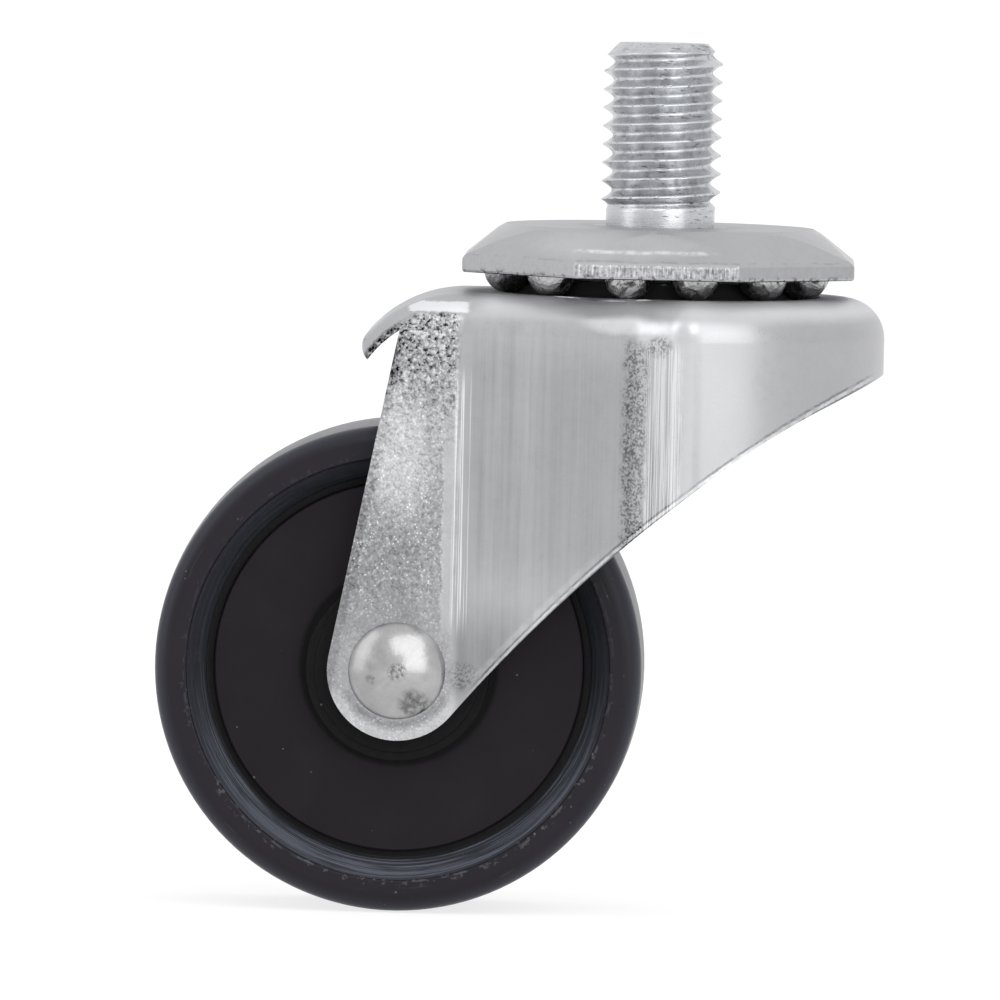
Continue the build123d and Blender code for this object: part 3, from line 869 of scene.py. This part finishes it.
def build_thread(thread):
    """The stem with its true helix, grown from the lower half of the plain solid."""
    foot = -THREAD_FOOT_DEPTH
    shape = bmesh.new()
    shape.from_mesh(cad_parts["threaded_stem"].data)
    bmesh.ops.remove_doubles(shape, verts=shape.verts, dist=WELD_DISTANCE)
    everything = shape.verts[:] + shape.edges[:] + shape.faces[:]
    bmesh.ops.bisect_plane(
        shape, geom=everything, plane_co=(0, 0, foot), plane_no=(0, 0, 1), clear_outer=True
    )

    # Rows climb with the helix from well below the foot, and are held between foot and tip
    around = thread.steps_around
    per_pitch = thread.steps_per_pitch
    start = foot - thread.pitch * 1.5
    rows = math.ceil((STEM_TOP - start) / thread.pitch) * per_pitch + per_pitch
    grid = {}
    for column in range(around):
        turn = column / around
        for row in range(rows + per_pitch):
            height = start + thread.pitch * (row / per_pitch + turn)
            height = min(max(height, foot), STEM_TOP)
            radius = thread_radius(thread, height, turn)
            angle = 2 * math.pi * turn
            place = (radius * math.cos(angle), radius * math.sin(angle), height)
            grid[column, row] = shape.verts.new(place)

    # The last column joins the first one pitch further up
    for column in range(around):
        last = column + 1 == around
        for row in range(rows - 1):
            right, shift = (0, per_pitch) if last else (column + 1, 0)
            corners = (
                grid[column, row],
                grid[right, row + shift],
                grid[right, row + shift + 1],
                grid[column, row + 1],
            )
            shape.faces.new(corners)

    # Points held to one height are merged, the tip is closed and the lower half joined on
    thread_verts = list(grid.values())
    bmesh.ops.remove_doubles(shape, verts=thread_verts, dist=WELD_DISTANCE)
    bmesh.ops.dissolve_degenerate(shape, dist=WELD_DISTANCE / 10, edges=shape.edges[:])
    loose = [vert for vert in shape.verts if not vert.link_faces]
    bmesh.ops.delete(shape, geom=loose, context="VERTS")
    open_edges = [edge for edge in shape.edges if edge.is_boundary]
    top_loop = [edge for edge in open_edges if edge.verts[0].co.z > STEM_TOP - WELD_DISTANCE]
    lower_loops = [edge for edge in open_edges if edge.verts[0].co.z < foot + WELD_DISTANCE]
    bmesh.ops.holes_fill(shape, edges=top_loop, sides=0)
    bmesh.ops.bridge_loops(shape, edges=lower_loops)
    bmesh.ops.recalc_face_normals(shape, faces=shape.faces)

    mesh = bpy.data.meshes.new("threaded_stem_rolled")
    shape.to_mesh(mesh)
    shape.free()
    mesh.shade_smooth()
    mesh.set_sharp_from_angle(angle=THREAD_SHARP_ANGLE)
    piece = bpy.data.objects.new("threaded_stem_rolled", mesh)
    bpy.context.scene.collection.objects.link(piece)
    return piece


def give(node_name, material):
    """Put a material on every slot of a CAD node."""
    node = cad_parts[node_name]
    for material_slot in node.material_slots:
        material_slot.link = "OBJECT"
        material_slot.material = material


# Operators, one for each piece or group of like pieces


class CASTOR_OT_threaded_stem(bpy.types.Operator):
    """Roll the stem's thread and plate it bright"""

    bl_idname = "castor.threaded_stem"
    bl_label = "Threaded Stem"

    def execute(self, context):
        scene = context.scene
        piece = build_thread(scene.castor_thread)
        piece.data.materials.append(thread_finish(scene.castor_finish))
        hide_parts("threaded_stem")
        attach(piece, "stem")
        return {"FINISHED"}


class CASTOR_OT_fork(bpy.types.Operator):
    """Plate the fork and soften its cut edges"""

    bl_idname = "castor.fork"
    bl_label = "Fork"

    def execute(self, context):
        finish = context.scene.castor_finish
        plate = sheet_finish(
            "fork_zinc", finish, fork_marks, FORK_GREASE_MM, FACES_UP, FORK_BLOOM_AND_LIGHT_MM
        )
        give("fork", plate)
        edge_modifiers(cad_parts["fork"], finish.sheet_rounding)
        return {"FINISHED"}


class CASTOR_OT_caps(bpy.types.Operator):
    """Plate the top plate and the lower race"""

    bl_idname = "castor.caps"
    bl_label = "Top Plate and Lower Race"

    def execute(self, context):
        finish = context.scene.castor_finish
        plate = sheet_finish(
            "cap_zinc", finish, cap_marks, CAP_GREASE_MM, FACES_DOWN, CAP_BLOOM_AND_LIGHT_MM
        )
        for name in ("top_plate", "lower_race"):
            give(name, plate)
            edge_modifiers(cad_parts[name], finish.sheet_rounding)
        return {"FINISHED"}


class CASTOR_OT_balls(bpy.types.Operator):
    """Grease both rings of balls"""

    bl_idname = "castor.balls"
    bl_label = "Balls"

    def execute(self, context):
        steel = ball_finish(context.scene.castor_finish)
        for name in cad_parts:
            if "_ball_" in name:
                give(name, steel)
        return {"FINISHED"}


class CASTOR_OT_wheel(bpy.types.Operator):
    """Finish the moulded wheel"""

    bl_idname = "castor.wheel"
    bl_label = "Wheel"

    def execute(self, context):
        finish = context.scene.castor_finish
        give("wheel", wheel_finish(finish))
        edge_modifiers(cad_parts["wheel"], finish.edge_rounding)
        return {"FINISHED"}


class CASTOR_OT_axle(bpy.types.Operator):
    """Spin-finish the axle rivet and plate its sleeve"""

    bl_idname = "castor.axle"
    bl_label = "Axle"

    def execute(self, context):
        finish = context.scene.castor_finish
        spun = rivet_finish(finish)
        for name in ("axle_rivet", "axle_sleeve"):
            give(name, spun)
            edge_modifiers(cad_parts[name], finish.edge_rounding / 2)
        return {"FINISHED"}


class CASTOR_OT_stage(bpy.types.Operator):
    """Set the floor, the white surroundings, the lamps and the camera"""

    bl_idname = "castor.stage"
    bl_label = "Stage"

    def execute(self, context):
        stage = context.scene.castor_stage
        make_floor(stage)
        make_world(context.scene)
        make_lamps(stage)
        make_camera(context.scene, stage)
        context.scene.view_settings.view_transform = "Standard"
        return {"FINISHED"}


# Stage


def make_floor(stage):
    """A pale floor that keeps the castor's shadow and is white to the camera."""
    mesh = bpy.data.meshes.new("floor")
    reach = stage.floor_size / 2
    corners = [(-reach, -reach), (reach, -reach), (reach, reach), (-reach, reach)]
    mesh.from_pydata([(x, y, FLOOR_Z) for x, y in corners], [], [(0, 1, 2, 3)])
    floor = bpy.data.objects.new("floor", mesh)
    bpy.context.scene.collection.objects.link(floor)
    paint = Paint(bpy.data.materials.new("floor"))
    seen = paint.seen()
    values = {
        "Base Color": paint.blend(seen, opaque([FLOOR_GREY] * 3), opaque([FLOOR_SEEN_GREY] * 3)),
        "Roughness": 1.0,
        "Specular IOR Level": 0.0,
        "Emission Color": paint.shade((1, 1, 1), seen * FLOOR_GLOW),
        "Emission Strength": 1.0,
    }
    mesh.materials.append(paint.close("ShaderNodeBsdfPrincipled", values))


def make_world(scene):
    """White to the camera and to reflections, and a plainer level to matt surfaces."""
    scene.world = bpy.data.worlds.new("surroundings")
    paint = Paint(scene.world, output="ShaderNodeOutputWorld")
    level = paint.seen() * (SEEN_LEVEL - LIGHT_LEVEL) + LIGHT_LEVEL
    paint.close("ShaderNodeBackground", {"Color": paint.shade((1, 1, 1), level)})


def make_lamps(stage):
    """Soft boxes round the camera, one distance from the axle, with faces of the given levels."""
    for name, (heading, height, width, tallness, level) in LAMPS.items():
        lamp = bpy.data.lights.new(name, "AREA")
        lamp.shape = "RECTANGLE"
        lamp.size = 2 * stage.lamp_distance * math.tan(math.radians(width / 2))
        lamp.size_y = 2 * stage.lamp_distance * math.tan(math.radians(tallness / 2))
        lamp.energy = math.pi * lamp.size * lamp.size_y * level * stage.lamp_level
        holder = bpy.data.objects.new(name, lamp)
        aim = towards(math.radians(heading), math.radians(height))
        holder.location = AXLE + aim * stage.lamp_distance
        holder.rotation_mode = "QUATERNION"
        holder.rotation_quaternion = aim.to_track_quat("Z", "Y")
        bpy.context.scene.collection.objects.link(holder)


def towards(azimuth, elevation):
    """The direction out to a viewer or lamp, with azimuth 0 in front and +X to the right."""
    level = math.cos(elevation)
    return Vector((math.sin(azimuth) * level, -math.cos(azimuth) * level, math.sin(elevation)))


def make_camera(scene, stage):
    """The photograph's view, placed so that the seat's centre falls on its own pixel."""
    data = bpy.data.cameras.new("camera")
    data.sensor_width = 36
    view_width = FRAME_PIXELS / stage.pixels_per_mm * MM
    data.lens = data.sensor_width * stage.distance / view_width
    data.clip_start = 0.05
    data.clip_end = 100
    back = towards(stage.azimuth, stage.elevation)
    turn = back.to_track_quat("Z", "Y").to_matrix() @ Matrix.Rotation(stage.roll, 3, "Z")
    right = turn @ Vector((1, 0, 0))
    up = turn @ Vector((0, 1, 0))
    half = FRAME_PIXELS / 2
    across = (SEAT_PIXEL[0] - half) / stage.pixels_per_mm * MM
    above = (half - SEAT_PIXEL[1]) / stage.pixels_per_mm * MM
    camera = bpy.data.objects.new("camera", data)
    camera.location = back * stage.distance - right * across - up * above
    camera.rotation_mode = "QUATERNION"
    camera.rotation_quaternion = turn.to_quaternion()
    scene.collection.objects.link(camera)
    scene.camera = camera


# Panel and registration


OPERATORS = (
    CASTOR_OT_threaded_stem,
    CASTOR_OT_fork,
    CASTOR_OT_caps,
    CASTOR_OT_balls,
    CASTOR_OT_wheel,
    CASTOR_OT_axle,
    CASTOR_OT_stage,
)


class CASTOR_PT_panel(bpy.types.Panel):
    """The castor's pieces and settings, in the sidebar"""

    bl_idname = "CASTOR_PT_panel"
    bl_label = "Swivel Castor"
    bl_space_type = "VIEW_3D"
    bl_region_type = "UI"
    bl_category = "Castor"

    def draw(self, context):
        for operator in OPERATORS:
            self.layout.operator(operator.bl_idname)
        for name, group in SETTINGS.items():
            box = self.layout.box()
            box.label(text=group.__doc__)
            for setting in group.__annotations__:
                box.prop(getattr(context.scene, name), setting)


CLASSES = tuple(SETTINGS.values()) + OPERATORS + (CASTOR_PT_panel,)


def register():
    """Register the classes and hang the settings on the scene."""
    for each in CLASSES:
        bpy.utils.register_class(each)
    for name, group in SETTINGS.items():
        setattr(bpy.types.Scene, name, PointerProperty(type=group))


def unregister():
    """Take the settings and classes away again."""
    for name in SETTINGS:
        delattr(bpy.types.Scene, name)
    for each in reversed(CLASSES):
        bpy.utils.unregister_class(each)


def main():
    register()
    for operator in OPERATORS:
        family, name = operator.bl_idname.split(".")
        getattr(getattr(bpy.ops, family), name)()


if __name__ == "__main__":
    main()
